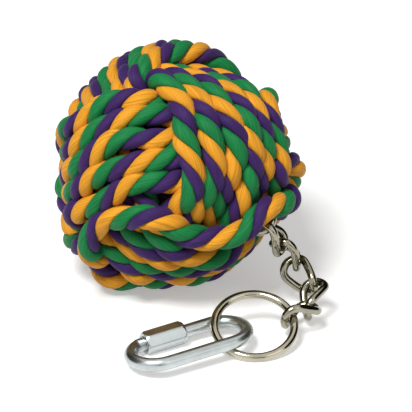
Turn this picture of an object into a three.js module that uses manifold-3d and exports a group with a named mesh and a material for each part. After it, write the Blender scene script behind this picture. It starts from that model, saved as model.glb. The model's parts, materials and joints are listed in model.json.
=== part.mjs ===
import * as THREE from "three";
import { mergeVertices } from "three/addons/utils/BufferGeometryUtils.js";
import Module from "manifold-3d";

// A rope ball bird toy at rest on a table: a ball of rope wound as a monkey's fist round a wooden core,
// a screw eye in the core, a short curb chain, a ring and a quick link to hang it by.
// Millimetres, +Z up. The origin is the flat under the lowest turn, and the quick link points along X.

const ropeDiameter = 4.8;
const turnGap = 1.2;
const turnsPerBand = 6;
const coreDiameter = 53;
const ballTurn = [57, 7.4, -30.6];
const swirl = 6;

const chainWire = 2.5;
const linkInsideLength = 10.1;
const linkInsideWidth = 5.4;
const linkTwist = 42;
const linkHeadings = [5.4, 14.3, -71.2, -133.2, -163.3];
const linkDips = [49.5, 46.2, 25.4, 17.9, -9];
const linkRolls = [-24.3, -16.7, -26.6, -5.7, -7.9];

const eyeHeading = -68;
const eyeDip = 19;
const eyeInside = 5.4;
const screwLength = 14;

const ringDiameter = 26.4;
const ringWire = 2.6;
const ringHeading = -26;
const ringContact = 8;

const quickLinkWire = 4;
const quickLinkLength = 41;
const quickLinkWidth = 19.5;
const quickLinkRise = 1.7;
const nutFlats = 6.5;
const nutLength = 13;
const nutStart = -11;
const mouth = [-9, -3.5];

const clearance = 0.3;
const linkLength = linkInsideLength + 2 * chainWire;
const linkWidth = linkInsideWidth + 2 * chainWire;
const eyeDiameter = eyeInside + 2 * chainWire;
const turn = 2 * Math.PI;
const radians = THREE.MathUtils.degToRad;
const up = new THREE.Vector3(0, 0, 1);

const wasm = await Module();
wasm.setup();

function solidOf(geometry) {
  geometry.deleteAttribute("uv");
  geometry.deleteAttribute("normal");
  const merged = mergeVertices(geometry, 1e-4);
  return new wasm.Manifold(
    new wasm.Mesh({
      numProp: 3,
      vertProperties: merged.attributes.position.array,
      triVerts: new Uint32Array(merged.index.array),
    }),
  );
}

function geometryOf(solid) {
  const mesh = solid.getMesh();
  const geometry = new THREE.BufferGeometry();
  geometry.setAttribute("position", new THREE.BufferAttribute(mesh.vertProperties, 3));
  geometry.setIndex(new THREE.BufferAttribute(mesh.triVerts, 1));
  geometry.computeVertexNormals();
  return geometry;
}

function direction(heading, dip) {
  const flat = Math.cos(radians(dip));
  return new THREE.Vector3(
    flat * Math.cos(radians(heading)),
    flat * Math.sin(radians(heading)),
    -Math.sin(radians(dip)),
  );
}

// A round bar along a line of points, closed on itself or with flat ends.
function bar(points, radius, sides, closed) {
  const count = points.length;
  const tangents = points.map((_, i) => {
    const before = closed ? (i + count - 1) % count : Math.max(i - 1, 0);
    const after = closed ? (i + 1) % count : Math.min(i + 1, count - 1);
    return points[after].clone().sub(points[before]).normalize();
  });
  const across = Math.abs(tangents[0].z) < 0.9 ? up : new THREE.Vector3(1, 0, 0);
  const normals = [new THREE.Vector3().crossVectors(across, tangents[0]).normalize()];
  const carry = new THREE.Quaternion();
  for (let i = 1; i < count; i++) {
    carry.setFromUnitVectors(tangents[i - 1], tangents[i]);
    normals.push(normals[i - 1].clone().applyQuaternion(carry));
  }
  let closing = 0;
  if (closed) {
    carry.setFromUnitVectors(tangents[count - 1], tangents[0]);
    const last = normals[count - 1].clone().applyQuaternion(carry);
    const sense = new THREE.Vector3().crossVectors(last, normals[0]).dot(tangents[0]);
    closing = Math.sign(sense) * last.angleTo(normals[0]);
  }
  const positions = [];
  const indices = [];
  points.forEach((point, i) => {
    const normal = normals[i].clone().applyAxisAngle(tangents[i], (closing * i) / count);
    const side = new THREE.Vector3().crossVectors(tangents[i], normal);
    for (let j = 0; j < sides; j++) {
      const angle = (turn * (j + 0.5)) / sides;
      const corner = point.clone();
      corner.addScaledVector(normal, radius * Math.cos(angle));
      corner.addScaledVector(side, radius * Math.sin(angle));
      positions.push(...corner);
    }
  });
  for (let i = 0; i < (closed ? count : count - 1); i++) {
    const next = (i + 1) % count;
    for (let j = 0; j < sides; j++) {
      const k = (j + 1) % sides;
      const [a, b] = [i * sides + j, i * sides + k];
      const [c, d] = [next * sides + j, next * sides + k];
      indices.push(a, b, d, a, d, c);
    }
  }
  if (!closed) {
    const end = (count - 1) * sides;
    for (let j = 1; j < sides - 1; j++) {
      indices.push(0, j + 1, j, end, end + j, end + j + 1);
    }
  }
  const geometry = new THREE.BufferGeometry();
  geometry.setAttribute("position", new THREE.Float32BufferAttribute(positions, 3));
  geometry.setIndex(indices);
  geometry.computeVertexNormals();
  return geometry;
}

// Points at even distances along a line of points.
function evenly(line, count) {
  const along = [0];
  for (let i = 1; i < line.length; i++) along.push(along[i - 1] + line[i].distanceTo(line[i - 1]));
  const total = along[line.length - 1];
  const points = [];
  let k = 0;
  for (let i = 0; i < count; i++) {
    const at = (total * i) / (count - 1);
    while (k < line.length - 2 && along[k + 1] < at) k++;
    const share = (at - along[k]) / (along[k + 1] - along[k]);
    points.push(new THREE.Vector3().lerpVectors(line[k], line[k + 1], share));
  }
  return points;
}

// The rope: three bands of turns about three square axes, one after the other on one line. Each band lies
// low where the next crosses it and high on its own two faces.
const turnPitch = ropeDiameter + turnGap;
const coreRadius = coreDiameter / 2;
const lowest = coreRadius + turnPitch / 2;
const lowRadius = lowest + 1.5;
const highRadius = lowRadius + turnPitch + 3;
const halfBand = ((turnsPerBand - 1) * turnPitch) / 2;
const ballRotation = new THREE.Quaternion().setFromEuler(
  new THREE.Euler(...ballTurn.map(radians), "XYZ"),
);

function band(place, from, to, sense) {
  const steps = Math.ceil((to - from) / 4);
  const points = [];
  for (let i = 0; i <= steps; i++) {
    const angle = radians(from + ((to - from) * i) / steps);
    const wave = Math.tanh(2.2 * Math.cos(2 * angle)) / Math.tanh(2.2);
    const radius = (lowRadius + highRadius) / 2 + ((highRadius - lowRadius) / 2) * wave;
    const shift = sense * ((turnPitch * angle) / turn - halfBand + swirl * Math.sin(2 * angle));
    const reach = Math.sqrt(radius * radius - shift * shift);
    const point = place(shift, reach * Math.cos(angle), reach * Math.sin(angle));
    points.push(point.applyQuaternion(ballRotation));
  }
  return points;
}

const wholeTurns = 360 * (turnsPerBand - 1);
const woundLine = [
  ...band((s, c, n) => new THREE.Vector3(s, n, c), -270, wholeTurns + 32, 1),
  ...band((s, c, n) => new THREE.Vector3(c, s, -n), -32, wholeTurns + 212, -1),
  ...band((s, c, n) => new THREE.Vector3(n, -c, s), -32, wholeTurns + 270, -1),
];
const loops = (3 * wholeTurns + 302 + 244 + 302) / 360;

// The screw eye and the first link keep the turns open round them.
const eyeDirection = direction(eyeHeading, eyeDip);
const eyeRadius = (eyeDiameter - chainWire) / 2;
const eyeReach = highRadius - 1.1;
const eyeCentre = eyeDirection.clone().multiplyScalar(eyeReach - eyeRadius);
const eyeEnd = eyeDirection.clone().multiplyScalar(eyeReach);
const firstLink = direction(linkHeadings[0], linkDips[0]);
const keepClear = [[eyeCentre, eyeDiameter / 2]];
for (let at = coreRadius; at < eyeReach - eyeRadius; at += 1.5) {
  keepClear.push([eyeDirection.clone().multiplyScalar(at), chainWire / 2]);
}
for (const along of [2, 6, 10]) {
  keepClear.push([eyeEnd.clone().addScaledVector(firstLink, along), linkWidth / 2]);
}

const settlePoints = 1500;
const settlePasses = 600;

// Turns nearer than one pitch part by half of what is missing.
function spread(points, skip) {
  const cells = new Map();
  const cellOf = (v) => Math.floor(v / turnPitch) + 40;
  const keyOf = (x, y, z) => (x * 80 + y) * 80 + z;
  points.forEach((p, i) => {
    const key = keyOf(cellOf(p.x), cellOf(p.y), cellOf(p.z));
    if (!cells.has(key)) cells.set(key, []);
    cells.get(key).push(i);
  });
  const moves = points.map(() => new THREE.Vector3());
  const counts = new Uint16Array(points.length);
  const gap = new THREE.Vector3();
  points.forEach((p, i) => {
    const [x, y, z] = [cellOf(p.x), cellOf(p.y), cellOf(p.z)];
    for (let near = 0; near < 27; near++) {
      const [a, b, c] = [(near % 3) - 1, (Math.floor(near / 3) % 3) - 1, Math.floor(near / 9) - 1];
      for (const j of cells.get(keyOf(x + a, y + b, z + c)) ?? []) {
        if (j <= i + skip) continue;
        const distance = gap.subVectors(points[j], p).length();
        if (distance >= turnPitch) continue;
        const half = (turnPitch - distance) / 2 / distance;
        moves[i].addScaledVector(gap, -half);
        moves[j].addScaledVector(gap, half);
        counts[i]++;
        counts[j]++;
      }
    }
  });
  points.forEach((p, i) => p.addScaledVector(moves[i], 1.2 / Math.max(1.2, counts[i])));
  for (const [centre, radius] of keepClear) {
    const least = radius + ropeDiameter / 2 + 2 * clearance;
    for (const p of points) {
      const distance = gap.subVectors(p, centre).length();
      if (distance < least) p.addScaledVector(gap, (least - distance) / distance);
    }
  }
}

function smooth(points, amount) {
  const before = points.map((p) => p.clone());
  const middle = new THREE.Vector3();
  for (let i = 1; i < points.length - 1; i++) {
    middle.addVectors(before[i - 1], before[i + 1]).multiplyScalar(0.5);
    points[i].lerp(middle, amount);
  }
}

function tighten(points, amount) {
  for (const p of points) p.setLength(Math.max(p.length() - amount, lowest));
}

// Each point is drawn sideways towards its place in the band, which keeps the turns of a band together.
function gather(points, places, amount) {
  const along = new THREE.Vector3();
  const away = new THREE.Vector3();
  for (let i = 1; i < points.length - 1; i++) {
    along.subVectors(points[i + 1], points[i - 1]).normalize();
    away.subVectors(places[i], points[i]);
    away.addScaledVector(along, -away.dot(along));
    points[i].addScaledVector(away, amount);
  }
}

function settle(line) {
  let points = evenly(line, settlePoints);
  const places = points.map((p) => p.clone());
  for (let pass = 0; pass < settlePasses; pass++) {
    const pulling = pass < 0.75 * settlePasses;
    const skip = Math.ceil((1.7 * turnPitch) / points[0].distanceTo(points[1]));
    spread(points, skip);
    const easing = pass < 0.9 * settlePasses ? 0.12 : 0.03;
    smooth(points, pulling ? 0.35 : easing);
    tighten(points, pulling ? 0.12 : 0);
    if (pulling) gather(points, places, 0.05);
    if (pass % 10 === 9) points = evenly(points, settlePoints);
  }
  return points;
}

// The least gap between turns, on four points to each step of the rope.
function leastGap(points) {
  const fine = [];
  for (let i = 0; i < points.length - 1; i++) {
    for (let j = 0; j < 4; j++) {
      fine.push(new THREE.Vector3().lerpVectors(points[i], points[i + 1], j / 4));
    }
  }
  const along = [0];
  for (let i = 1; i < fine.length; i++) along.push(along[i - 1] + fine[i].distanceTo(fine[i - 1]));
  let least = Infinity;
  for (let i = 0; i < fine.length; i++) {
    for (let j = i + 1; j < fine.length; j++) {
      if (along[j] - along[i] > 1.7 * turnPitch) least = Math.min(least, fine[i].distanceTo(fine[j]));
    }
  }
  return least - ropeDiameter;
}

// Steps are shorter where the line bends more, so that each leaves the line by about as much.
function byBend(line, count) {
  const along = [0];
  for (let i = 1; i < line.length; i++) {
    const step = line[i].distanceTo(line[i - 1]);
    const ahead = line[Math.min(i + 1, line.length - 1)].clone().sub(line[i]);
    const behind = line[i].clone().sub(line[i - 1]);
    const bend = ahead.lengthSq() ? ahead.angleTo(behind) / step : 0;
    along.push(along[i - 1] + step * Math.sqrt(bend + 0.02));
  }
  const points = [];
  let k = 0;
  for (let i = 0; i < count; i++) {
    const at = (along[line.length - 1] * i) / (count - 1);
    while (k < line.length - 2 && along[k + 1] < at) k++;
    const share = (at - along[k]) / (along[k + 1] - along[k]);
    points.push(new THREE.Vector3().lerpVectors(line[k], line[k + 1], share));
  }
  return points;
}

const stepsPerLoop = 34;
const ropeLine = byBend(settle(woundLine), Math.round(stepsPerLoop * loops));
console.log("least gap between turns of the rope:", leastGap(ropeLine).toFixed(2), "mm");

// The lowest turn is cut flat, and the middle of that flat is the origin.
const ropeSolid = solidOf(bar(ropeLine, ropeDiameter / 2, 6, false));
const footHeight = ropeSolid.boundingBox().min[2] + ropeDiameter / 10;
const slab = new THREE.BoxGeometry(200, 200, 50);
slab.translate(0, 0, footHeight - 25);
const belowFoot = solidOf(slab);
const footBox = ropeSolid.intersect(belowFoot).boundingBox();
const ballCentre = new THREE.Vector3(
  -(footBox.min[0] + footBox.max[0]) / 2,
  -(footBox.min[1] + footBox.max[1]) / 2,
  -footHeight,
);
const ropeGeometry = geometryOf(ropeSolid.subtract(belowFoot));

// The core has a bore for the screw.
const boreDepth = screwLength + clearance;
const bore = new THREE.CylinderGeometry(
  chainWire / 2 + clearance,
  chainWire / 2 + clearance,
  2 * boreDepth,
  12,
);
bore.rotateZ(Math.PI / 2);
bore.translate(coreRadius, 0, 0);
const core = new THREE.SphereGeometry(coreRadius, 24, 14);
const coreGeometry = geometryOf(solidOf(core).subtract(solidOf(bore)));

// The screw eye lies along X with its ring at the origin.
const eyeLine = [];
for (let i = 0; i < 20; i++) {
  const angle = (turn * i) / 20;
  eyeLine.push(new THREE.Vector3(eyeRadius * Math.cos(angle), eyeRadius * Math.sin(angle), 0));
}
const shankLength = eyeReach - 2 * eyeRadius - coreRadius + screwLength;
const shank = new THREE.CylinderGeometry(chainWire / 2, chainWire / 2, shankLength, 10);
shank.rotateZ(Math.PI / 2);
shank.translate(-eyeRadius - shankLength / 2, 0, 0);
const eyeGeometry = geometryOf(solidOf(bar(eyeLine, chainWire / 2, 8, true)).add(solidOf(shank)));

// A chain link is an oval of wire along X, twisted about X.
function oval(length, width, arcSteps, sideSteps) {
  const radius = width / 2;
  const half = length / 2 - radius;
  const points = [];
  for (const end of [1, -1]) {
    for (let i = 0; i < arcSteps; i++) {
      const angle = Math.PI * (i / arcSteps - 0.5);
      points.push(
        new THREE.Vector3(
          end * (half + radius * Math.cos(angle)),
          end * radius * Math.sin(angle),
          0,
        ),
      );
    }
    for (let i = 0; i < sideSteps; i++) {
      points.push(new THREE.Vector3(end * half * (1 - (2 * i) / sideSteps), end * radius, 0));
    }
  }
  return points;
}

const linkCentreLength = linkLength - chainWire;
const xAxis = new THREE.Vector3(1, 0, 0);
const linkLine = oval(linkCentreLength, linkWidth - chainWire, 10, 3).map((p) =>
  p.applyAxisAngle(xAxis, (radians(linkTwist) * 2 * p.x) / linkCentreLength),
);
const linkGeometry = bar(linkLine, chainWire / 2, 8, true);

// The quick link's wire starts and ends at its mouth on the bar on the +Y side.
const quickLinkCentreLength = quickLinkLength - quickLinkWire;
const barOffset = (quickLinkWidth - quickLinkWire) / 2;
const straightHalf = quickLinkCentreLength / 2 - barOffset;
const quickLinkLine = [new THREE.Vector3(mouth[0], barOffset, 0)];
for (const end of [-1, 1]) {
  for (let i = 0; i <= 14; i++) {
    const angle = Math.PI * (0.5 - i / 14);
    quickLinkLine.push(
      new THREE.Vector3(
        end * (straightHalf + barOffset * Math.cos(angle)),
        -end * barOffset * Math.sin(angle),
        0,
      ),
    );
  }
}
quickLinkLine.push(new THREE.Vector3(mouth[1], barOffset, 0));
const quickLinkGeometry = bar(quickLinkLine, quickLinkWire / 2, 10, false);

// The nut lies along X from the origin, with a flat below.
const nutCorner = nutFlats / 2 / Math.cos(Math.PI / 6);
const nutBlank = new THREE.CylinderGeometry(nutCorner, nutCorner, nutLength, 6);
nutBlank.rotateY(Math.PI / 6);
const nutRadius = quickLinkWire / 2 + clearance;
const nutBore = new THREE.CylinderGeometry(nutRadius, nutRadius, 2 * nutLength, 16);
const nutSolid = solidOf(nutBlank).subtract(solidOf(nutBore));
const nutGeometry = geometryOf(nutSolid);
nutGeometry.rotateZ(-Math.PI / 2);
nutGeometry.translate(nutLength / 2, 0, 0);

const rope = new THREE.MeshStandardMaterial({ color: 0x8a6a52, roughness: 0.9 });
const wood = new THREE.MeshStandardMaterial({ color: 0xc69c6d, roughness: 0.8 });
const nickel = new THREE.MeshStandardMaterial({ color: 0xb4b0a8, roughness: 0.3, metalness: 1 });
const zinc = new THREE.MeshStandardMaterial({ color: 0xc8ccd2, roughness: 0.25, metalness: 1 });

const toy = new THREE.Group();

function addMesh(parent, name, geometry, material) {
  const mesh = new THREE.Mesh(geometry, material);
  mesh.name = name;
  parent.add(mesh);
  return mesh;
}

// Turns a piece so that its X runs along one direction and its Y to the given side.
function aim(piece, along, side) {
  const normal = new THREE.Vector3().crossVectors(along, side);
  piece.quaternion.setFromRotationMatrix(new THREE.Matrix4().makeBasis(along, side, normal));
}

const ball = new THREE.Group();
ball.position.copy(ballCentre);
toy.add(ball);
addMesh(ball, "rope", ropeGeometry, rope);

const eyeSide = new THREE.Vector3().crossVectors(eyeDirection, firstLink).normalize();
aim(addMesh(ball, "core_ball", coreGeometry, wood), eyeDirection, eyeSide);
const eye = addMesh(ball, "screw_eye", eyeGeometry, nickel);
eye.position.copy(eyeCentre);
aim(eye, eyeDirection, eyeSide);

// Each link hangs on the bend at the end of the one before, on the side that it is pulled to. The dips all
// change by the same angle until the last link ends at the height of the ring.
const hangGap = chainWire + clearance;
const linkBend = (linkWidth - chainWire) / 2;

function hang(piece, bend, pull) {
  const swing = Math.atan2(pull.dot(piece.across), pull.dot(piece.along));
  const outward = piece.along.clone().multiplyScalar(Math.cos(swing));
  outward.addScaledVector(piece.across, Math.sin(swing));
  const wire = piece.across.clone().multiplyScalar(Math.cos(swing));
  wire.addScaledVector(piece.along, -Math.sin(swing));
  const point = piece.end.clone().addScaledVector(piece.along, -bend);
  point.addScaledVector(outward, bend);
  const square = pull.clone().addScaledVector(wire, -pull.dot(wire)).normalize();
  return { wire, point, start: point.clone().addScaledVector(square, -hangGap) };
}

function layChain(extraDip) {
  const chain = [];
  let last = { end: ballCentre.clone().add(eyeEnd), along: eyeDirection, across: eyeSide };
  linkHeadings.forEach((heading, i) => {
    const along = direction(heading, linkDips[i] + extraDip);
    const { wire, start } = hang(last, i ? linkBend : eyeRadius, along);
    const entry = new THREE.Vector3().crossVectors(along, wire).normalize();
    const side = entry.applyAxisAngle(along, radians(linkTwist + linkRolls[i]));
    const centre = start.clone().addScaledVector(along, linkCentreLength / 2);
    const end = start.clone().addScaledVector(along, linkCentreLength);
    const across = side.clone().applyAxisAngle(along, radians(linkTwist));
    last = { centre, along, side, end, across };
    chain.push(last);
  });
  return chain;
}

// The ring lies over the quick link's back bar and under its front bar, with its near edge on the table.
const ringRadius = (ringDiameter - ringWire) / 2;
const nutSlope = Math.sin(radians(quickLinkRise));
const backBarHeight = nutFlats / 2 + nutSlope * -nutStart + 0.1;
const ringTilt = Math.asin((backBarHeight + quickLinkWire / 2 + clearance) / (1.36 * ringRadius));
const ringX = direction(ringHeading, 0);
const ringY = direction(ringHeading + 90, -THREE.MathUtils.radToDeg(ringTilt));
const ringHeight = ringRadius * Math.sin(ringTilt) + ringWire / 2;
const contactAngle = radians(ringContact);
const contactOffset = ringX.clone().multiplyScalar(ringRadius * Math.cos(contactAngle));
contactOffset.addScaledVector(ringY, ringRadius * Math.sin(contactAngle));

function contactOf(chain) {
  const inward = contactOffset.clone().normalize().negate();
  return hang(chain[chain.length - 1], linkBend, inward).start;
}

let [shallow, steep] = [-40, 40];
for (let i = 0; i < 40; i++) {
  const middle = (shallow + steep) / 2;
  if (contactOf(layChain(middle)).z > ringHeight + contactOffset.z) shallow = middle;
  else steep = middle;
}
const chain = layChain(shallow);
chain.forEach((link, i) => {
  const mesh = addMesh(toy, `chain_link_${i + 1}`, linkGeometry, nickel);
  mesh.position.copy(link.centre);
  aim(mesh, link.along, link.side);
});

const ringLine = [];
for (let i = 0; i < 36; i++) {
  const angle = (turn * i) / 36;
  ringLine.push(new THREE.Vector3(ringRadius * Math.cos(angle), ringRadius * Math.sin(angle), 0));
}
const ring = addMesh(toy, "ring", bar(ringLine, ringWire / 2, 8, true), nickel);
ring.position.copy(contactOf(chain)).sub(contactOffset);
ring.position.z = ringHeight;
aim(ring, ringX, ringY);

// The quick link rests on its nut at the back and on the ring at the front, at the angle on the ring where
// it comes as far forward as the front bar.
const ringAhead = 0.19 * ringRadius;
const [forwardX, forwardY] = [ringRadius * ringX.y, ringRadius * ringY.y];
const farthest = Math.atan2(forwardY, forwardX);
const crossing = farthest + Math.acos((ringAhead - barOffset) / Math.hypot(forwardX, forwardY));
const frontCrossing = ringRadius * Math.sin(crossing) * ringY.z;
const frontBarHeight = ringHeight + frontCrossing + (ringWire + quickLinkWire) / 2 + clearance;
const roll = Math.asin((frontBarHeight - straightHalf * nutSlope - backBarHeight) / (2 * barOffset));
const quickLink = new THREE.Group();
quickLink.position.set(
  ring.position.x - 0.85 * ringRadius - straightHalf,
  ring.position.y + ringAhead,
  backBarHeight + barOffset * Math.sin(roll),
);
quickLink.rotation.set(-roll, -radians(quickLinkRise), 0, "ZYX");
toy.add(quickLink);
addMesh(quickLink, "quick_link_body", quickLinkGeometry, zinc);
const nut = addMesh(quickLink, "quick_link_nut", nutGeometry, zinc);
nut.position.set(nutStart, barOffset, 0);
nut.rotation.x = roll;

export default toy;
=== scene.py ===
import json
import math

import bpy
import numpy as np
from mathutils import Matrix, Vector


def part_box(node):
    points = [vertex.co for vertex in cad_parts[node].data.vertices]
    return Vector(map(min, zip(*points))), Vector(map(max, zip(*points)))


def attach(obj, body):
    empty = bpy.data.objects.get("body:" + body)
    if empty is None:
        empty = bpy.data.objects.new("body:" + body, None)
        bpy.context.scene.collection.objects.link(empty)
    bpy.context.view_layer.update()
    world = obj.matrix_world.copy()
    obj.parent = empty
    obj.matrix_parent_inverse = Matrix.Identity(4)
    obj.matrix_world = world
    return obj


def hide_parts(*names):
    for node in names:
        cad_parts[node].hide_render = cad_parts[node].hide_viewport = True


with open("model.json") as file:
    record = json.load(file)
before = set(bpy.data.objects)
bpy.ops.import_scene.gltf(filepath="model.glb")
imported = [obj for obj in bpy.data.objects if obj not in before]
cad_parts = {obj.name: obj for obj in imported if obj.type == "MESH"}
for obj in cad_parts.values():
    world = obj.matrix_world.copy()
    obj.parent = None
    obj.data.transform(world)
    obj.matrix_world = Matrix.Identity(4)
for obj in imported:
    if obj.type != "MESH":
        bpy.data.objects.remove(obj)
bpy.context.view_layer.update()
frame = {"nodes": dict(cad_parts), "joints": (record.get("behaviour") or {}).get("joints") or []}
print("frame loaded:", len(frame["nodes"]), "nodes")

mm = 0.001


def unit(v):
    return v / np.linalg.norm(v, axis=-1, keepdims=True)


def evenly(line, count):
    # points at even distances along a line of points
    steps = np.linalg.norm(np.diff(line, axis=0), axis=1)
    along = np.concatenate([[0.0], np.cumsum(steps)])
    at = np.linspace(0.0, along[-1], count)
    return np.stack([np.interp(at, along, line[:, k]) for k in range(3)], axis=1)


def flowing(points, count, closed=False):
    # Catmull-Rom curve through the points, sampled at even steps of its parameter
    n = len(points)
    t = np.linspace(0, n if closed else n - 1, count, endpoint=not closed)
    i = np.minimum(t.astype(int), n - 1 if closed else n - 2)
    f = (t - i)[:, None]
    pick = (lambda k: points[(i + k) % n]) if closed else (lambda k: points[np.clip(i + k, 0, n - 1)])
    a, b, c, d = pick(-1), pick(0), pick(1), pick(2)
    square, cube = 2 * a - 5 * b + 4 * c - d, 3 * b - a - 3 * c + d
    return 0.5 * (2 * b + (c - a) * f + square * f**2 + cube * f**3)


def tangents(path, closed):
    if closed:
        return unit(np.roll(path, -1, axis=0) - np.roll(path, 1, axis=0))
    return unit(np.gradient(path, axis=0))


def wireRings(path, normal, radius, sides, closed):
    # round bar: each ring is path + radius * (cos v * across + sin v * up), across = up x tangent
    t = tangents(path, closed)
    upward = unit(normal - t * np.sum(normal * t, axis=1, keepdims=True))
    across = np.cross(upward, t)
    v = np.linspace(0, 2 * np.pi, sides, endpoint=False)
    r = np.broadcast_to(np.asarray(radius, float), (len(path), sides))[..., None]
    ring = np.cos(v)[None, :, None] * across[:, None] + np.sin(v)[None, :, None] * upward[:, None]
    return path[:, None] + r * ring


def addPiece(name, rings, body, nodes, material, closed, lengthOf=None, sharp=180):
    # grid of rings joined into a skin, closed round each ring; open rows get a cap at each end
    rows, sides = rings.shape[:2]
    last = rows if closed else rows - 1
    i, j = np.meshgrid(np.arange(last), np.arange(sides), indexing="ij")
    iNext, jNext = (i + 1) % rows, (j + 1) % sides
    quads = np.stack([i * sides + j, i * sides + jNext, iNext * sides + jNext, iNext * sides + j], axis=-1)
    faces = quads.reshape(-1, 4).tolist()
    if not closed:
        faces.append(list(range(sides))[::-1])
        faces.append(list(range((rows - 1) * sides, rows * sides)))
    mesh = bpy.data.meshes.new(name)
    mesh.from_pydata(rings.reshape(-1, 3).tolist(), [], faces)
    mesh.polygons.foreach_set("use_smooth", np.ones(len(mesh.polygons), bool))
    # own UV: u is the length along the piece in metres, v the share of the way round
    along = np.arange(rows + 1) * mm if lengthOf is None else np.append(lengthOf, lengthOf[-1])
    u = np.stack([along[i], along[i], along[i + 1], along[i + 1]], axis=-1)
    v = np.stack([j, j + 1, j + 1, j], axis=-1) / sides
    uv = np.zeros((len(mesh.loops), 2))
    uv[: u.size, 0] = u.reshape(-1)
    uv[: u.size, 1] = v.reshape(-1)
    mesh.uv_layers.new(name="wrap").data.foreach_set("uv", uv.astype(np.float32).reshape(-1))
    if sharp < 180:
        mesh.set_sharp_from_angle(angle=math.radians(sharp))
    mesh.validate()
    mesh.update()
    obj = bpy.data.objects.new(name, mesh)
    bpy.context.scene.collection.objects.link(obj)
    mesh.materials.append(material)
    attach(obj, body)
    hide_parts(*nodes)
    return obj


def nodePoints(name):
    mesh = frame["nodes"][name].data
    co = np.zeros(len(mesh.vertices) * 3)
    mesh.vertices.foreach_get("co", co)
    return co.reshape(-1, 3)


def jointNamed(name):
    return next(joint for joint in frame["joints"] if joint["name"] == name)


def nodeAxes(name):
    # middle and main directions of a node: the area-weighted centre, then longest to shortest axis
    mesh = frame["nodes"][name].data
    mesh.calc_loop_triangles()
    corners = np.zeros(len(mesh.loop_triangles) * 3, int)
    mesh.loop_triangles.foreach_get("vertices", corners)
    tri = nodePoints(name)[corners.reshape(-1, 3)]
    area = np.linalg.norm(np.cross(tri[:, 1] - tri[:, 0], tri[:, 2] - tri[:, 0]), axis=1)
    mid = tri.mean(axis=1)
    centre = np.average(mid, axis=0, weights=area)
    spread = ((mid - centre) * area[:, None]).T @ (mid - centre)
    axes = np.linalg.eigh(spread)[1].T[::-1]
    return centre, axes


# Materials


def newMaterial(name):
    material = bpy.data.materials.new(name)
    material.use_nodes = True
    nodes, links = material.node_tree.nodes, material.node_tree.links
    return material, nodes, links, nodes["Principled BSDF"]


def ramp(nodes, stops):
    node = nodes.new("ShaderNodeValToRGB")
    node.color_ramp.elements[0].position = stops[0][0]
    node.color_ramp.elements[0].color = stops[0][1]
    node.color_ramp.elements[1].position = stops[-1][0]
    node.color_ramp.elements[1].color = stops[-1][1]
    for place, colour in stops[1:-1]:
        node.color_ramp.elements.new(place).color = colour
    return node


def linear(red, green, blue, share=1.0):
    # display colour, 0 to 255, as the linear colour that a shader takes
    c = np.array([red, green, blue]) / 255
    c = np.where(c <= 0.04045, c / 12.92, ((c + 0.055) / 1.055) ** 2.4)
    return (*np.clip(c * share, 0, 1).tolist(), 1.0)


strandLook = {
    "fibreTurn": 0.0098,  # length of strand in which its fibres go once round it, in metres
    "fibresRound": 34.0,
    "fibreLength": 70.0,  # changes of fibre per metre
    "fibreDetail": 3.0,
    "fibreRoughness": 0.6,
    "shades": ((0.28, 0.58), (0.5, 1.0), (0.72, 1.32)),  # place in the noise, share of the colour
    "bump": 0.75,
    "bumpDepth": 0.0004,
    "roughness": 0.5,
    "sheen": 0.05,
    "sheenRoughness": 0.5,
    "specular": 0.16,
}


def strandMaterial(name, colour):
    # fibres twisted round the strand: noise on (u, v - u / fibreTurn), long along u and fine along v
    material, nodes, links, shader = newMaterial(name)
    wrap = nodes.new("ShaderNodeUVMap")
    wrap.uv_map = "wrap"
    parts = nodes.new("ShaderNodeSeparateXYZ")
    links.new(wrap.outputs["UV"], parts.inputs[0])
    twist = nodes.new("ShaderNodeMath")
    twist.operation = "MULTIPLY_ADD"
    links.new(parts.outputs["X"], twist.inputs[0])
    twist.inputs[1].default_value = -1 / strandLook["fibreTurn"]
    links.new(parts.outputs["Y"], twist.inputs[2])
    lines = nodes.new("ShaderNodeCombineXYZ")
    links.new(parts.outputs["X"], lines.inputs["X"])
    links.new(twist.outputs[0], lines.inputs["Y"])
    scale = nodes.new("ShaderNodeMapping")
    scale.inputs["Scale"].default_value = (strandLook["fibreLength"], strandLook["fibresRound"], 1)
    links.new(lines.outputs[0], scale.inputs["Vector"])
    fibres = nodes.new("ShaderNodeTexNoise")
    fibres.inputs["Scale"].default_value = 1.0
    fibres.inputs["Detail"].default_value = strandLook["fibreDetail"]
    fibres.inputs["Roughness"].default_value = strandLook["fibreRoughness"]
    links.new(scale.outputs[0], fibres.inputs["Vector"])
    tint = ramp(nodes, [(place, linear(*colour, share)) for place, share in strandLook["shades"]])
    links.new(fibres.outputs["Fac"], tint.inputs["Fac"])
    links.new(tint.outputs["Color"], shader.inputs["Base Color"])
    relief = nodes.new("ShaderNodeBump")
    relief.inputs["Strength"].default_value = strandLook["bump"]
    relief.inputs["Distance"].default_value = strandLook["bumpDepth"]
    links.new(fibres.outputs["Fac"], relief.inputs["Height"])
    links.new(relief.outputs["Normal"], shader.inputs["Normal"])
    shader.inputs["Roughness"].default_value = strandLook["roughness"]
    shader.inputs["Sheen Weight"].default_value = strandLook["sheen"]
    shader.inputs["Sheen Roughness"].default_value = strandLook["sheenRoughness"]
    shader.inputs["Specular IOR Level"].default_value = strandLook["specular"]
    return material


platingLook = {
    "cloudScale": 260.0,
    "cloudDetail": 4.0,
    "shades": ((0.3, 0.86), (0.7, 1.06)),  # place in the cloudiness, share of the colour
    "grainScale": 2200.0,
    "grainDetail": 2.0,
    "bump": 0.08,
    "bumpDepth": 0.00005,
}


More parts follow.
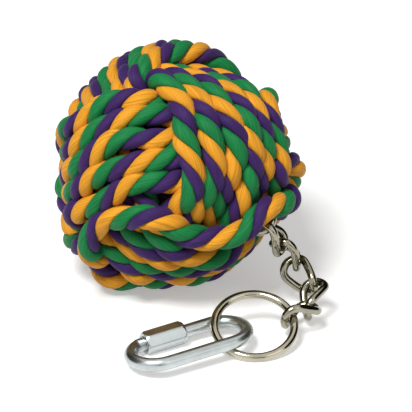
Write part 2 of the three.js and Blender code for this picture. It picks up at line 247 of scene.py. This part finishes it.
def platedMaterial(name, colour, shine, wear):
    # plated metal: faint cloudiness in colour and in gloss, from shine to shine + wear, and a fine grain
    material, nodes, links, shader = newMaterial(name)
    place = nodes.new("ShaderNodeTexCoord")
    cloud = nodes.new("ShaderNodeTexNoise")
    cloud.inputs["Scale"].default_value = platingLook["cloudScale"]
    cloud.inputs["Detail"].default_value = platingLook["cloudDetail"]
    links.new(place.outputs["Object"], cloud.inputs["Vector"])
    tint = ramp(nodes, [(at, linear(*colour, share)) for at, share in platingLook["shades"]])
    links.new(cloud.outputs["Fac"], tint.inputs["Fac"])
    links.new(tint.outputs["Color"], shader.inputs["Base Color"])
    gloss = nodes.new("ShaderNodeMapRange")
    gloss.inputs["To Min"].default_value = shine
    gloss.inputs["To Max"].default_value = shine + wear
    links.new(cloud.outputs["Fac"], gloss.inputs["Value"])
    links.new(gloss.outputs["Result"], shader.inputs["Roughness"])
    grain = nodes.new("ShaderNodeTexNoise")
    grain.inputs["Scale"].default_value = platingLook["grainScale"]
    grain.inputs["Detail"].default_value = platingLook["grainDetail"]
    links.new(place.outputs["Object"], grain.inputs["Vector"])
    relief = nodes.new("ShaderNodeBump")
    relief.inputs["Strength"].default_value = platingLook["bump"]
    relief.inputs["Distance"].default_value = platingLook["bumpDepth"]
    links.new(grain.outputs["Fac"], relief.inputs["Height"])
    links.new(relief.outputs["Normal"], shader.inputs["Normal"])
    shader.inputs["Metallic"].default_value = 1.0
    return material


# both colours are darkened well below the wood's own tone: painted shade, so the core seen between the
# turns reads as a dark hollow
woodLook = {
    "pale": (92, 66, 44),
    "dark": (58, 40, 26),
    "edges": (0.2, 0.9),  # where pale ends and dark begins across a ring
    "ringScale": 180.0,
    "distortion": 3.0,
    "detail": 3.0,
    "roughness": 0.7,
}


def woodMaterial(name):
    # turned wood: rings round one axis, bent by noise, in colours darkened well below the wood's own as
    # painted shade for the hollow between the turns
    material, nodes, links, shader = newMaterial(name)
    place = nodes.new("ShaderNodeTexCoord")
    grain = nodes.new("ShaderNodeTexWave")
    grain.wave_type = "RINGS"
    grain.inputs["Scale"].default_value = woodLook["ringScale"]
    grain.inputs["Distortion"].default_value = woodLook["distortion"]
    grain.inputs["Detail"].default_value = woodLook["detail"]
    links.new(place.outputs["Object"], grain.inputs["Vector"])
    colours = linear(*woodLook["pale"]), linear(*woodLook["dark"])
    tint = ramp(nodes, list(zip(woodLook["edges"], colours)))
    links.new(grain.outputs["Fac"], tint.inputs["Fac"])
    links.new(tint.outputs["Color"], shader.inputs["Base Color"])
    shader.inputs["Roughness"].default_value = woodLook["roughness"]
    return material


strandColours = {"green": (20, 124, 64), "purple": (60, 32, 94), "orange": (236, 160, 40)}
# one nickel plate in two copies: the darker, on the eye and chain, is painted shade and dark reflection;
# the brighter, on the ring, is painted light
nickelPaintedShade = platedMaterial("nickel_plate_painted_shade", (152, 148, 131), 0.08, 0.1)
nickelPaintedLight = platedMaterial("nickel_plate_painted_light", (180, 174, 155), 0.08, 0.1)
zinc = platedMaterial("zinc_plate", (186, 192, 192), 0.22, 0.14)
paintedShadeWood = woodMaterial("turned_wood_painted_shade")
print("materials made")


# Screw eye: a wire up the shank, bent aside and round into an eye that stops short of the shank

screwEye = {
    "outside": 10.4,
    "wire": 2.5,
    "shankAt": (1.0, 0.7, 0.4),  # points down the shank, as shares of its length
    "neckAt": ((2.0, 0.0), (0.8, 0.1)),  # points where the wire leaves the shank: below the eye, aside
    "bend": (158, -166),  # degrees round the eye from start to end
    "bendPoints": 40,
    "finePoints": 400,
    "steps": 160,
    "sides": 20,
}
coreLow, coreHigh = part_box("core_ball")
ballCentre = np.array(coreLow + coreHigh) / 2
eyeWeight, eyeAxes = nodeAxes("screw_eye")
eyeOut = unit(eyeWeight - ballCentre)
eyeNormal = eyeAxes[2]
eyeAside = np.cross(eyeNormal, eyeOut)
eyeTop = np.max(nodePoints("screw_eye") @ eyeOut)
eyeFoot = np.min(nodePoints("screw_eye") @ eyeOut)
eyeR = (screwEye["outside"] - screwEye["wire"]) / 2 * mm
eyeMiddle = ballCentre + eyeOut * (eyeTop - ballCentre @ eyeOut - screwEye["outside"] * mm / 2)
shankLength = eyeTop - eyeFoot - screwEye["outside"] * mm
bendAt = np.radians(np.linspace(*screwEye["bend"], screwEye["bendPoints"]))
eyeFlat = np.concatenate([
    [[-eyeR - share * shankLength, 0] for share in screwEye["shankAt"]],
    [[-eyeR - below * mm, aside * mm] for below, aside in screwEye["neckAt"]],
    np.stack([eyeR * np.cos(bendAt), eyeR * np.sin(bendAt)], axis=1),
])
eyePath = eyeMiddle + eyeFlat[:, :1] * eyeOut + eyeFlat[:, 1:] * eyeAside
eyePath = evenly(flowing(eyePath, screwEye["finePoints"]), screwEye["steps"])
eyeUp = np.broadcast_to(eyeNormal, eyePath.shape)
eyeRings = wireRings(eyePath, eyeUp, screwEye["wire"] * mm / 2, screwEye["sides"], False)
addPiece("screw_eye_wire", eyeRings, "ball", ["screw_eye"], nickelPaintedShade, False)
print("screw eye made")


# Chain links: ovals of wire twisted about their length

chainLink = {
    "links": 5,
    "wire": 2.5,
    "length": 15.1,
    "width": 10.4,
    "twist": 42.0,  # degrees at each end
    "steps": 120,
    "sides": 20,
}
roundEndPoints = 60  # points round the half circle of an oval


def ovalLine(length, width, count):
    # two straight sides joined by half circles, at even distances, in its own plane
    radius = width / 2
    half = length / 2 - radius
    a = np.linspace(-np.pi / 2, np.pi / 2, roundEndPoints)
    end = np.stack([half + radius * np.cos(a), radius * np.sin(a)], axis=1)
    line = np.concatenate([end, -end, end[:1]])
    line = np.concatenate([line, np.zeros((len(line), 1))], axis=1)
    return evenly(line, count + 1)[:-1]


def linkPath(name):
    # the oval is turned about its length by the twist times the place along it
    centre, axes = nodeAxes(name)
    along, side = axes[0], axes[1]
    normal = np.cross(along, side)
    reach = chainLink["length"] - chainLink["wire"]
    flat = ovalLine(reach, chainLink["width"] - chainLink["wire"], chainLink["steps"])
    angle = math.radians(chainLink["twist"]) * 2 * flat[:, 0] / reach
    x, y, z = flat[:, 0], flat[:, 1] * np.cos(angle), flat[:, 1] * np.sin(angle)
    path = centre + mm * (x[:, None] * along + y[:, None] * side + z[:, None] * normal)
    upward = -np.sin(angle)[:, None] * side + np.cos(angle)[:, None] * normal
    return path, upward


for number in range(1, chainLink["links"] + 1):
    node = f"chain_link_{number}"
    path, upward = linkPath(node)
    rings = wireRings(path, upward, chainLink["wire"] * mm / 2, chainLink["sides"], True)
    addPiece(f"curb_link_{number}", rings, f"link_{number}", [node], nickelPaintedShade, True)
print("chain made")


# Ring

wireRing = {"outside": 26.4, "wire": 2.6, "steps": 160, "sides": 24}
ringCentre, ringAxes = nodeAxes("ring")
ringR = (wireRing["outside"] - wireRing["wire"]) / 2 * mm
ringAt = np.linspace(0, 2 * np.pi, wireRing["steps"], endpoint=False)[:, None]
ringPath = ringCentre + ringR * (np.cos(ringAt) * ringAxes[0] + np.sin(ringAt) * ringAxes[1])
ringUp = np.broadcast_to(ringAxes[2], ringPath.shape)
ringRings = wireRings(ringPath, ringUp, wireRing["wire"] * mm / 2, wireRing["sides"], True)
addPiece("wire_ring", ringRings, "ring", ["ring"], nickelPaintedLight, True)
print("ring made")


# Quick link: a wire round an oval with a threaded mouth, and a long hexagonal nut over it

quickLink = {
    "wire": 4.0,
    "length": 41.0,
    "width": 19.5,
    "mouth": (-9.0, -3.5),
    "threadFrom": -14.2,
    "threadDepth": 0.22,
    "threadPitch": 0.8,
    "threadFadeIn": (-0.2, 0.4),  # length at the mouth over which the thread rises
    "threadFadeOut": 0.5,  # length at its other end over which it runs out
    "threadSteps": 80,
    "plainSteps": 200,
    "finePoints": 900,
    "sides": 28,
}
linkAlong = unit(np.array(jointNamed("nut_slide")["axis"], float))
linkNormal = nodeAxes("quick_link_body")[1][2]
linkNormal = linkNormal * np.sign(linkNormal[2])
linkSide = np.cross(linkNormal, linkAlong)
bodyPoints = nodePoints("quick_link_body")
linkBasis = np.stack([linkAlong, linkSide, linkNormal])
bodySpan = bodyPoints @ linkBasis.T
linkMiddle = (bodySpan.min(axis=0) + bodySpan.max(axis=0)) / 2 @ linkBasis


def quickLinkPath():
    # from the mouth back round the free end, along the far bar, round the other end and up to the mouth
    radius = (quickLink["width"] - quickLink["wire"]) / 2
    half = (quickLink["length"] - quickLink["wire"]) / 2 - radius
    a = np.linspace(np.pi / 2, -np.pi / 2, roundEndPoints)
    freeEnd = np.stack([-half - radius * np.cos(a), radius * np.sin(a)], axis=1)
    ringEnd = np.stack([half + radius * np.cos(a), radius * np.sin(a)], axis=1)[::-1]
    mouthStart, mouthEnd = quickLink["mouth"]
    flat = np.concatenate([[[mouthStart, radius]], freeEnd, ringEnd, [[mouthEnd, radius]]])
    flat = np.concatenate([flat, np.zeros((len(flat), 1))], axis=1)
    total = np.sum(np.linalg.norm(np.diff(flat, axis=0), axis=1))
    fine = evenly(flat, quickLink["finePoints"])
    s = np.linspace(0, total, quickLink["finePoints"])
    # close steps over the thread at the start, wide ones on the plain wire
    threadEnd = mouthStart - quickLink["threadFrom"]
    threadAt = np.linspace(0, threadEnd, quickLink["threadSteps"], endpoint=False)
    at = np.concatenate([threadAt, np.linspace(threadEnd, total, quickLink["plainSteps"])])
    return np.stack([np.interp(at, s, fine[:, k]) for k in range(3)], axis=1), at, threadEnd


flatLine, flatAt, threadEnd = quickLinkPath()
bodyPath = linkMiddle + mm * flatLine @ linkBasis
turnRound = np.linspace(0, 1, quickLink["sides"], endpoint=False)
# thread: a ridge once a pitch, moving round with the length, that fades in and out at its ends
ridge = 0.5 + 0.5 * np.cos(2 * np.pi * (flatAt[:, None] / quickLink["threadPitch"] - turnRound))
fadeFrom, fadeTo = quickLink["threadFadeIn"]
fadeIn = np.clip((flatAt - fadeFrom) / (fadeTo - fadeFrom), 0, 1)
fade = np.clip((threadEnd - flatAt) / quickLink["threadFadeOut"], 0, 1) * fadeIn
bodyRadius = quickLink["wire"] / 2 + quickLink["threadDepth"] * (ridge - 0.5) * fade[:, None]
bodyUp = np.broadcast_to(linkNormal, bodyPath.shape)
bodyRings = wireRings(bodyPath, bodyUp, bodyRadius * mm, quickLink["sides"], False)
addPiece("quick_link_wire", bodyRings, "quick_link", ["quick_link_body"], zinc, False)

hexNut = {
    "flats": 6.5,
    "length": 13.0,
    "bore": 4.3,
    "faceShare": 0.96,  # round face at each end, as a share of the flats
    "chamfer": 0.62,  # rise of the cone per length
    "round": 0.16,  # taken off the corners
    "rowsFromEnd": (0, 0.12, 0.25, 0.4, 0.55, 0.7, 0.9, 1.2),
    "flare": (0.4, 0.35),  # length and rise at each end of the bore
    "sides": 96,
    "sharpAngle": 28,
}
nutSide = np.array([0.0, 1.0, 0.0])
nutUp = np.cross(linkAlong, nutSide)
nutBasis = np.stack([linkAlong, nutSide, nutUp])
nutSpan = nodePoints("quick_link_nut") @ nutBasis.T
nutMiddle = (nutSpan.min(axis=0) + nutSpan.max(axis=0)) / 2 @ nutBasis


def nutRings():
    # hexagon of flats with rounded corners, cut by a cone at each end, then back through the bore
    angle = np.linspace(0, 2 * np.pi, hexNut["sides"], endpoint=False)
    fold = np.abs((angle % (np.pi / 3)) - np.pi / 6)
    hexagon = hexNut["flats"] / 2 / np.cos(fold)
    corner = hexNut["flats"] / 2 / math.cos(math.pi / 6) - hexNut["round"]
    hexagon = np.minimum(hexagon, corner)
    half = hexNut["length"] / 2
    inset = np.array(hexNut["rowsFromEnd"])
    x = np.concatenate([-half + inset, [0], half - inset[::-1]])
    cone = hexNut["flats"] / 2 * hexNut["faceShare"] + (half - np.abs(x)) * hexNut["chamfer"]
    outside = np.minimum(hexagon[None], cone[:, None])
    flareLength, flareRise = hexNut["flare"]
    boreX = np.array([half, half - flareLength, 0, -half + flareLength, -half])
    boreRadius = hexNut["bore"] / 2 + np.array([flareRise, 0, 0, 0, flareRise])
    inside = np.broadcast_to(boreRadius[:, None], (len(boreX), hexNut["sides"]))
    x = np.concatenate([x, boreX])
    radius = np.concatenate([outside, inside])
    along = np.broadcast_to(x[:, None], radius.shape)
    ring = np.stack([along, radius * np.cos(angle), radius * np.sin(angle)], axis=-1)
    return nutMiddle + mm * ring @ nutBasis


addPiece("hex_nut", nutRings(), "nut", ["quick_link_nut"], zinc, True, sharp=hexNut["sharpAngle"])
print("quick link made")


# The rope: three bands of turns about three square axes on one line, settled as it is pulled tight

winding = {
    "pitch": 6.6,  # from turn to turn, in millimetres
    "coreRadius": 25.0,
    "turnsPerBand": 6,
    "ballTurn": (51.6, 13.3, -10.3),
    "swirl": -3.3,
    "overrun": 32,  # degrees that a band runs on before the next takes over
    "degreesPerPoint": 4,
    "squareness": 2.2,  # how quickly a turn changes from its low to its high radius
    "lowLift": 1.5,
    "highLift": 3.0,
    "points": 1500,
    "keepOff": 5.6,  # from the middle of a wire of the eye or first link to the middle of the rope
}
settling = {
    "passes": 600,
    "pullUntil": 0.75,  # share of the passes in which the turns are pulled in and gathered
    "easeUntil": 0.9,
    "pullSmoothing": 0.35,
    "easeSmoothing": 0.12,
    "lastSmoothing": 0.03,
    "pullIn": 0.12,
    "gather": 0.05,
    "crowd": 1.2,  # neighbours past which a point's moves are shared out
    "skip": 1.7,  # length of rope, in pitches, that doesn't part from itself
    "reach": 2.0,
    "busyPasses": 40,
    "pairsEvery": 5,
    "evenEvery": 10,
}

pitch = winding["pitch"]
lowest = winding["coreRadius"] + pitch / 2
lowRadius = lowest + winding["lowLift"]
highRadius = lowRadius + pitch + winding["highLift"]


def turned(degrees):
    a, b, c = (Matrix.Rotation(math.radians(d), 3, k) for d, k in zip(degrees, "XYZ"))
    return np.array(a @ b @ c)


def band(place, start, stop, sense):
    # turns of one band: the radius swings between low and high four times a turn, while the turn moves
    # one pitch sideways and swirls
    angle = np.radians(np.linspace(start, stop, math.ceil((stop - start) / winding["degreesPerPoint"]) + 1))
    square = winding["squareness"]
    wave = np.tanh(square * np.cos(2 * angle)) / math.tanh(square)
    radius = (lowRadius + highRadius) / 2 + (highRadius - lowRadius) / 2 * wave
    halfBand = (winding["turnsPerBand"] - 1) * pitch / 2
    shift = sense * (pitch * angle / (2 * np.pi) - halfBand + winding["swirl"] * np.sin(2 * angle))
    reach = np.sqrt(radius**2 - shift**2)
    return np.stack(place(shift, reach * np.cos(angle), reach * np.sin(angle)), axis=1)


def woundLine():
    # the three bands one after the other, from under the first turns to under the last
    whole = 360 * (winding["turnsPerBand"] - 1)
    over = winding["overrun"]
    line = np.concatenate([
        band(lambda s, c, n: (s, n, c), -270, whole + over, 1),
        band(lambda s, c, n: (c, s, -n), -over, whole + 180 + over, -1),
        band(lambda s, c, n: (n, -c, s), -over, whole + 270, -1),
    ])
    return line @ turned(winding["ballTurn"]).T


def swing(points, jointName, degrees):
    # points turned about a joint's axis, as the chain moves there
    joint = jointNamed(jointName)
    pivot = np.array(joint["pos_m"])
    turn = np.array(Matrix.Rotation(math.radians(degrees), 3, Vector(joint["axis"])))
    return pivot + (points - pivot) @ turn.T


def clearWires():
    # wires that the turns go round, as points from the ball's middle: the eye, and the first link as it
    # lies and as it swings about the eye
    link = linkPath("chain_link_1")[0][::10]
    low, high = jointNamed("eye_link_1")["range_deg"]
    swung = [swing(link, "eye_link_1", degrees) for degrees in (low, low / 2, 0, high)]
    return (np.concatenate([eyePath[::8], *swung]) - ballCentre) / mm


def nearPairs(points, skip, reach):
    # pairs of points of different turns nearer than reach
    square = np.sum(points**2, axis=1)
    distance = square[:, None] + square[None] - 2 * points @ points.T
    i, j = np.nonzero(np.triu(distance < reach**2, skip + 1))
    return i, j


def spreadTurns(points, i, j, wires):
    # turns nearer than one pitch part by half of what is missing, and points keep off their nearest wire
    gap = points[j] - points[i]
    distance = np.linalg.norm(gap, axis=1)
    close = distance < pitch
    i, j, gap, distance = i[close], j[close], gap[close], distance[close]
    push = gap * ((pitch - distance) / 2 / distance)[:, None]
    n = len(points)
    counts = np.bincount(i, minlength=n) + np.bincount(j, minlength=n)
    moves = [np.bincount(j, push[:, k], n) - np.bincount(i, push[:, k], n) for k in range(3)]
    crowd = settling["crowd"]
    points = points + np.stack(moves, axis=1) * (crowd / np.maximum(crowd, counts))[:, None]
    offset = points[:, None] - wires[None]
    distance = np.linalg.norm(offset, axis=2)
    nearest = np.argmin(distance, axis=1)[:, None]
    distance = np.take_along_axis(distance, nearest, axis=1)
    away = np.take_along_axis(offset, nearest[..., None], axis=1)[:, 0]
    return points + away * np.maximum(winding["keepOff"] - distance, 0) / distance


def settle(line):
    # passes of parting and smoothing, the first of them also pulling in and gathering towards the band;
    # they magnify small changes, so after a change of any size single turns can lie elsewhere
    wires = clearWires()
    points = evenly(line, winding["points"])
    places = points.copy()
    for step in range(settling["passes"]):
        pulling = step < settling["pullUntil"] * settling["passes"]
        if step < settling["busyPasses"] or step % settling["pairsEvery"] == 0:
            skip = math.ceil(settling["skip"] * pitch / np.linalg.norm(points[1] - points[0]))
            i, j = nearPairs(points, skip, pitch + settling["reach"])
        points = spreadTurns(points, i, j, wires)
        easing = step < settling["easeUntil"] * settling["passes"]
        smoothing = settling["easeSmoothing"] if easing else settling["lastSmoothing"]
        middle = (points[:-2] + points[2:]) / 2
        points[1:-1] += (settling["pullSmoothing"] if pulling else smoothing) * (middle - points[1:-1])
        if pulling:
            length = np.linalg.norm(points, axis=1, keepdims=True)
            points = points * np.maximum(length - settling["pullIn"], lowest) / length
            along = unit(points[2:] - points[:-2])
            away = places[1:-1] - points[1:-1]
            sideways = away - along * np.sum(away * along, axis=1, keepdims=True)
            points[1:-1] += settling["gather"] * sideways
        if (step + 1) % settling["evenEvery"] == 0:
            points = evenly(points, winding["points"])
    return points


ropeLine = settle(woundLine())
print("rope settled")

strands = {
    "lay": 19.0,  # length in which a strand goes once round the rope, in millimetres
    "radius": 3.8,
    "halfSectors": {"green": 61.0, "purple": 52.0, "orange": 62.5},  # the purple yarn is drawn in more
    "seam": 1.5,  # degrees left free at each side of a strand
    "valley": 0.26,  # how far a strand's sides drop below its crown, as a share of the radius
    "valleyPower": 2.6,
    "arcPoints": 13,
    "insideAt": ((0.96, 0.55), (0, 0.15), (-0.96, 0.55)),  # share of the sector, share of the radius
    "step": 0.85,
    "tighten": 0.975,  # turns press into each other, so the whole winding sits closer to the core
    "drawIn": 0.4,
    "sag": 2.6,  # how far the turns lie below the middle of the CAD core, away from the eye
    "sagFade": (10.0, 18.0),  # free distance from the eye, then the length over which the sag comes in
    "wander": 1.8,
    "wanderFade": 12.0,
    "wanderLift": 0.7,  # wander outwards, as a share of the wander sideways
    "waves": 4,
    "waveLengths": (22, 70),
    "swell": 0.12,
    "press": 0.6,  # how far the lowest turn is pressed into the table
    "room": 0.35,  # left between the rope and a wire at a joint's limit
    "roomPasses": 12,
    "roomWindow": 15,
    "seed": 11,
}


def reachedWires():
    # wires that come near the ball at the limits of the eye's and the fourth link's joints, as points
    # from the ball's middle, with the radius of each
    low, high = jointNamed("eye_link_1")["range_deg"]
    links = [linkPath(f"chain_link_{number}")[0][::5] for number in (1, 2)]
    parts = [swing(link, "eye_link_1", degrees) for link in links for degrees in (low, 0, high)]
    radii = [chainLink["wire"] / 2] * len(parts)
    farSwing = jointNamed("link_4_link_5")["range_deg"][1]
    nutLine = nutMiddle + np.linspace(-0.5, 0.5, 15)[:, None] * hexNut["length"] * mm * linkAlong
    parts += [swing(bodyPath[::4], "link_4_link_5", farSwing), swing(nutLine, "link_4_link_5", farSwing)]
    radii += [quickLink["wire"] / 2, hexNut["flats"] / math.sqrt(3)]
    near = np.concatenate([np.full(len(part), radius) for part, radius in zip(parts, radii)])
    return (np.concatenate(parts) - ballCentre) / mm, near


def makeRoom(path, radius):
    # the rope gives way where a wire reaches it: each point moves off the wire that it is deepest in, the
    # moves are evened out along the rope, and this is repeated
    wires, wireRadius = reachedWires()
    window = np.hanning(strands["roomWindow"])
    window = window / window.sum()
    for _ in range(strands["roomPasses"]):
        offset = path[:, None] - wires[None]
        distance = np.linalg.norm(offset, axis=2)
        missing = radius[:, None] + wireRadius + strands["room"] - distance
        deepest = np.argmax(missing, axis=1)[:, None]
        push = np.maximum(np.take_along_axis(missing, deepest, axis=1), 0)
        push = push / np.take_along_axis(distance, deepest, axis=1)
        move = np.take_along_axis(offset, deepest[..., None], axis=1)[:, 0] * push
        path = path + np.stack([np.convolve(move[:, k], window, "same") for k in range(3)], axis=1)
    print("most that the rope still lacks at a joint's limit:", round(float(missing.max()), 2), "mm")
    return path


def slowWaves(s, draw):
    # mean of some sine waves along the rope, each with a drawn length and start
    lengths = draw.uniform(*strands["waveLengths"], strands["waves"])
    starts = draw.uniform(0, 2 * np.pi, strands["waves"])
    return np.mean(np.sin(2 * np.pi * s[:, None] / lengths + starts), axis=1)


def pressedDown(path, radius):
    # the lower half is drawn down until its lowest turn presses on the table
    lowestAt = np.argmin(path[:, 2] - radius)
    table = radius[lowestAt] - strands["press"] - ballCentre[2] / mm
    drawn = table / path[lowestAt, 2]
    print("lower half drawn down by", round(float(drawn), 3))
    path[:, 2] = np.where(path[:, 2] < 0, path[:, 2] * drawn, path[:, 2])
    return path


def ropeFrames(line):
    # even steps along the settled line, moved sideways and outwards by slow waves, tightened and sagged,
    # with the outward and sideways directions, the length so far and the radius at each
    length = np.sum(np.linalg.norm(np.diff(line, axis=0), axis=1))
    path = evenly(flowing(line, 4 * len(line)), round(length / strands["step"]))
    s = np.linspace(0, length, len(path))
    draw = np.random.default_rng(strands["seed"])
    t = tangents(path, False)
    outward = unit(path - t * np.sum(path * t, axis=1, keepdims=True))
    aside = np.cross(t, outward)
    fromEye = np.linalg.norm(path - (eyeMiddle - ballCentre) / mm, axis=1)
    wander = (strands["wander"] * np.clip(fromEye / strands["wanderFade"] - 1, 0, 1))[:, None]
    path = path + wander * slowWaves(s, draw)[:, None] * aside
    lift = strands["wanderLift"] * wander * slowWaves(s, draw)[:, None]
    path = (path + (lift - strands["drawIn"]) * outward) * strands["tighten"]
    sagFree, sagLength = strands["sagFade"]
    path[:, 2] -= strands["sag"] * np.clip((fromEye - sagFree) / sagLength, 0, 1)
    radius = strands["radius"] * (1 + strands["swell"] * slowWaves(s, draw))
    return makeRoom(pressedDown(path, radius), radius), outward, aside, s, radius


def strandRings(ropeFrame, phase, halfSector):
    # strand: a sector of the rope's section, its crown at an angle that turns left-handed once a lay;
    # the radius falls off from the crown to the sides, and the inside runs in to near the middle
    path, outward, aside, s, radius = ropeFrame
    arc = np.linspace(-1, 1, strands["arcPoints"])
    insideShare, insideFar = np.array(strands["insideAt"]).T
    share = np.concatenate([arc, insideShare])
    far = np.concatenate([1 - strands["valley"] * np.abs(arc) ** strands["valleyPower"], insideFar])
    angle = (phase - 2 * np.pi * s / strands["lay"])[:, None] + halfSector * share
    out, across = radius[:, None] * far * np.cos(angle), radius[:, None] * far * np.sin(angle)
    rings = out[..., None] * outward[:, None] + across[..., None] * aside[:, None]
    rings = (path[:, None] + rings) * mm + ballCentre
    rings[..., 2] = np.maximum(rings[..., 2], 0)  # flat where it rests on the table
    return rings, s * mm


ropeFrame = ropeFrames(ropeLine)
sectorEdge = -math.radians(strands["halfSectors"]["green"] + strands["seam"])
for colourName, colour in strandColours.items():
    halfSector = math.radians(strands["halfSectors"][colourName])
    halfShare = halfSector + math.radians(strands["seam"])
    rings, along = strandRings(ropeFrame, sectorEdge + halfShare, halfSector)
    sectorEdge += 2 * halfShare
    material = strandMaterial(f"rope_{colourName}", colour)
    addPiece(f"rope_{colourName}", rings, "ball", ["rope"], material, False, along)
print("rope laid: 3 strands of", len(rings), "rings")


# Core: a turned wooden ball with a small flat at each end of its grain, inside the turns

woodCore = {"radius": 22.8, "flat": 3.0, "steps": 48, "sides": 72}


def coreRings():
    # circles about the upright axis, from one flat to the other: radius * cos at height radius * sin
    reach = math.acos(woodCore["flat"] / woodCore["radius"])
    tilt = np.linspace(-reach, reach, woodCore["steps"])[:, None]
    turn = np.linspace(0, 2 * np.pi, woodCore["sides"], endpoint=False)
    ring = [np.cos(tilt) * np.cos(turn), np.cos(tilt) * np.sin(turn), np.sin(tilt) + 0 * turn]
    middle = ballCentre - np.array([0, 0, strands["sag"]]) * mm
    return middle + woodCore["radius"] * mm * np.stack(ring, axis=-1)


addPiece("core_wood", coreRings(), "ball", ["core_ball"], paintedShadeWood, False)
print("core made")


# Camera, floor and light

camera = {
    "azimuth": -28.8,
    "elevation": 28.0,
    "distance": 0.96,
    "lens": 276.0,
    "sensor": 36,
    "clipStart": 0.01,
    "right": 0.00942,  # how far right of the ball's middle it looks, in metres
    "down": 0.0158,
}
studio = {
    "worldLight": 0.21,
    "floorReach": 3.0,
    "floorLit": 0.72,  # grey that throws light back on the object
    "floorSeen": 0.97,  # white that the camera and mirrors see
    "floorGlow": 0.36,
    "floorRoughness": 0.9,
    "cardColour": (0.012, 0.012, 0.01, 1),
}
lamps = {  # azimuth, elevation, distance, size, power
    "key": (-58, 58, 0.9, 0.36, 7.6),
    "fill": (20, 35, 1.1, 0.8, 1.0),
}
cards = {  # azimuth, elevation, distance, width, height
    "card_back": (151, 26, 0.7, 1.6, 0.6),
    "card_left": (-128, 28, 0.6, 0.8, 0.6),
    "card_right": (70, 24, 0.6, 0.8, 0.6),
    "card_front": (-18, 12, 1.2, 0.5, 0.35),
}


def viewAxes(azimuth, elevation):
    a, e = math.radians(azimuth), math.radians(elevation)
    back = Vector((math.sin(a) * math.cos(e), -math.cos(a) * math.cos(e), math.sin(e)))
    right = Vector((math.cos(a), math.sin(a), 0))
    return right, back.cross(right), back


def facing(target, azimuth, elevation, distance):
    # place that looks at the target along a line of sight
    right, upward, back = viewAxes(azimuth, elevation)
    turn = Matrix((right, upward, back)).transposed().to_4x4()
    return Matrix.Translation(target + back * distance) @ turn


def addCamera():
    right, upward, _ = viewAxes(camera["azimuth"], camera["elevation"])
    target = Vector(ballCentre) + right * camera["right"] - upward * camera["down"]
    data = bpy.data.cameras.new("camera")
    data.lens = camera["lens"]
    data.sensor_width = camera["sensor"]
    data.clip_start = camera["clipStart"]
    obj = bpy.data.objects.new("camera", data)
    obj.matrix_world = facing(target, camera["azimuth"], camera["elevation"], camera["distance"])
    bpy.context.scene.collection.objects.link(obj)
    bpy.context.scene.camera = obj


def whiteForCamera(nodes, links):
    # 1 where the camera, a mirror or clear glass looks straight at it
    path = nodes.new("ShaderNodeLightPath")
    either = nodes.new("ShaderNodeMath")
    either.operation = "MAXIMUM"
    links.new(path.outputs["Is Camera Ray"], either.inputs[0])
    links.new(path.outputs["Is Glossy Ray"], either.inputs[1])
    anyOf = nodes.new("ShaderNodeMath")
    anyOf.operation = "MAXIMUM"
    links.new(either.outputs[0], anyOf.inputs[0])
    links.new(path.outputs["Is Transmission Ray"], anyOf.inputs[1])
    return anyOf.outputs[0]


def addFloor():
    material, nodes, links, shader = newMaterial("white_floor")
    shade = nodes.new("ShaderNodeMix")
    shade.data_type = "RGBA"
    shade.inputs["A"].default_value = (*[studio["floorLit"]] * 3, 1)
    shade.inputs["B"].default_value = (*[studio["floorSeen"]] * 3, 1)
    white = whiteForCamera(nodes, links)
    links.new(white, shade.inputs["Factor"])
    links.new(shade.outputs["Result"], shader.inputs["Base Color"])
    glow = nodes.new("ShaderNodeMath")
    glow.operation = "MULTIPLY"
    glow.inputs[1].default_value = studio["floorGlow"]
    links.new(white, glow.inputs[0])
    shader.inputs["Emission Color"].default_value = (1, 1, 1, 1)
    links.new(glow.outputs[0], shader.inputs["Emission Strength"])
    shader.inputs["Roughness"].default_value = studio["floorRoughness"]
    shader.inputs["Specular IOR Level"].default_value = 0.0
    mesh = bpy.data.meshes.new("floor")
    reach = studio["floorReach"]
    corners = [(-reach, -reach, 0), (reach, -reach, 0), (reach, reach, 0), (-reach, reach, 0)]
    mesh.from_pydata(corners, [], [(0, 1, 2, 3)])
    mesh.materials.append(material)
    obj = bpy.data.objects.new("floor", mesh)
    bpy.context.scene.collection.objects.link(obj)


def addWorld():
    world = bpy.data.worlds.new("studio")
    world.use_nodes = True
    nodes, links = world.node_tree.nodes, world.node_tree.links
    strength = nodes.new("ShaderNodeMapRange")
    strength.inputs["To Min"].default_value = studio["worldLight"]
    strength.inputs["To Max"].default_value = 1.0
    links.new(whiteForCamera(nodes, links), strength.inputs["Value"])
    background = nodes["Background"]
    background.inputs["Color"].default_value = (1, 1, 1, 1)
    links.new(strength.outputs["Result"], background.inputs["Strength"])
    bpy.context.scene.world = world


def addLamp(name, azimuth, elevation, distance, size, power):
    data = bpy.data.lights.new(name, "AREA")
    data.shape = "DISK"
    data.size = size
    data.energy = power
    obj = bpy.data.objects.new(name, data)
    obj.matrix_world = facing(Vector(ballCentre), azimuth, elevation, distance)
    bpy.context.scene.collection.objects.link(obj)


def cardMaterial():
    material, _, _, shader = newMaterial("card_black")
    shader.inputs["Base Color"].default_value = studio["cardColour"]
    shader.inputs["Roughness"].default_value = 1.0
    shader.inputs["Specular IOR Level"].default_value = 0.0
    return material


def addCard(name, material, azimuth, elevation, distance, width, height):
    # dark studio card that only mirrors see, which draws the dark lines on bright metal
    right, upward, back = viewAxes(azimuth, elevation)
    middle = Vector(ballCentre) + back * distance
    aside, over = right * width / 2, upward * height / 2
    corners = [middle - aside - over, middle + aside - over, middle + aside + over, middle - aside + over]
    mesh = bpy.data.meshes.new(name)
    mesh.from_pydata([tuple(c) for c in corners], [], [(0, 1, 2, 3)])
    mesh.materials.append(material)
    obj = bpy.data.objects.new(name, mesh)
    obj.visible_camera = False
    obj.visible_diffuse = False
    obj.visible_shadow = False
    bpy.context.scene.collection.objects.link(obj)


addCamera()
addFloor()
addWorld()
for name, values in lamps.items():
    addLamp(name, *values)
cardBlack = cardMaterial()
for name, values in cards.items():
    addCard(name, cardBlack, *values)
bpy.context.scene.view_settings.view_transform = "Standard"
print("stage set")
